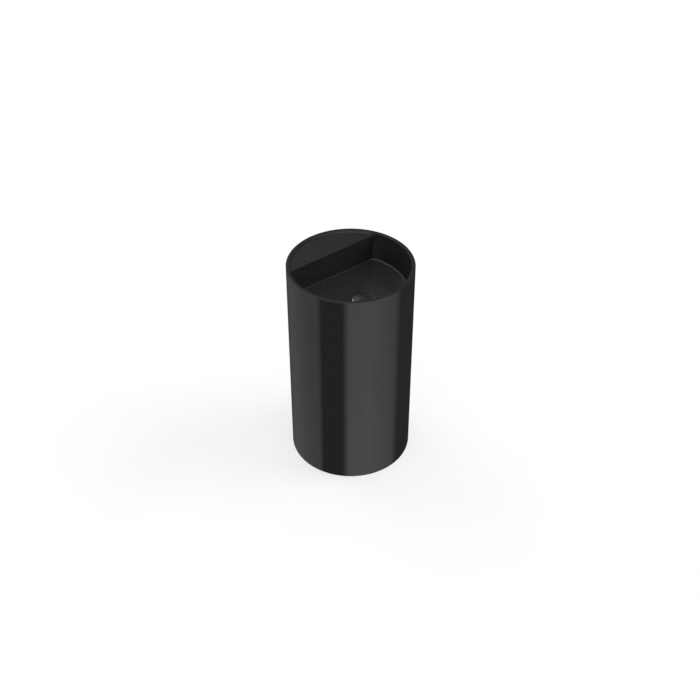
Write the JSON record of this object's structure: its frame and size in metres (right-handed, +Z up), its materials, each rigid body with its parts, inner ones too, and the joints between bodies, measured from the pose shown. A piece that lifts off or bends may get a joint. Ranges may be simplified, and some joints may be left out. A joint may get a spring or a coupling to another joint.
{
  "type": "pedestal sink",
  "caption": "Free-standing round column basin with a D-shaped bowl, a rear shelf, a push-to-open waste, a bottle trap and a service cover at the back.",
  "frame": {"origin": "middle of the round base, on the floor", "axes": "+Z up along the column's axis, -Y to the user, +Y to the shelf and the service cover, +X to the user's right"},
  "size_m": [0.47, 0.47, 0.85],
  "materials": {
    "glaze": "gloss black glaze",
    "cover": "gloss black, matched to the glaze",
    "cap_metal": "polished gunmetal",
    "brass": "machined",
    "steel": "bright",
    "magnet": "nickel plated",
    "black_rubber": "matt",
    "foam": "closed-cell foam",
    "nylon": "natural nylon",
    "white_plastic": "moulded polypropylene",
    "grey_plastic": "extruded and moulded polypropylene"
  },
  "bodies": {
    "basin": {"basin_body": "glaze", "click_cartridge": "white_plastic", "click_spring": "steel", "waste_body": "brass", "flange_gasket": "black_rubber", "under_gasket": "black_rubber", "friction_washer": "nylon", "backnut": "brass", "inlet_nut": "white_plastic", "inlet_washer": "black_rubber", "inlet_tube": "white_plastic", "head_nut": "white_plastic", "head_washer": "black_rubber", "trap_head": "white_plastic", "outlet_nut": "white_plastic", "outlet_washer": "black_rubber", "outlet_pipe": "grey_plastic", "outlet_bend": "grey_plastic", "drop_pipe": "grey_plastic", "floor_adapter": "grey_plastic", "pipe_seals": "black_rubber", "strike_plates": "steel", "floor_bushes": "nylon"},
    "plug": {"waste_cap": "cap_metal", "cap_seal": "black_rubber", "click_stem": "steel"},
    "cup": {"trap_cup": "white_plastic", "cup_ring": "black_rubber"},
    "cover": {"access_panel": "cover", "panel_gasket": "foam", "panel_magnets": "magnet"}
  },
  "joints": [
    {"name": "cap_press", "type": "slide", "parent": "basin", "child": "plug", "axis": [0, 0, 1], "range_m": [0, 0.008], "deforming": ["click_spring"]},
    {"name": "cup_lower", "type": "slide", "parent": "basin", "child": "cup", "axis": [0, 0, -1], "range_m": [0, 0.08]},
    {"name": "cover_pull", "type": "slide", "parent": "basin", "child": "cover", "axis": [0, 1, 0], "range_m": [0, 0.08]}
  ]
}
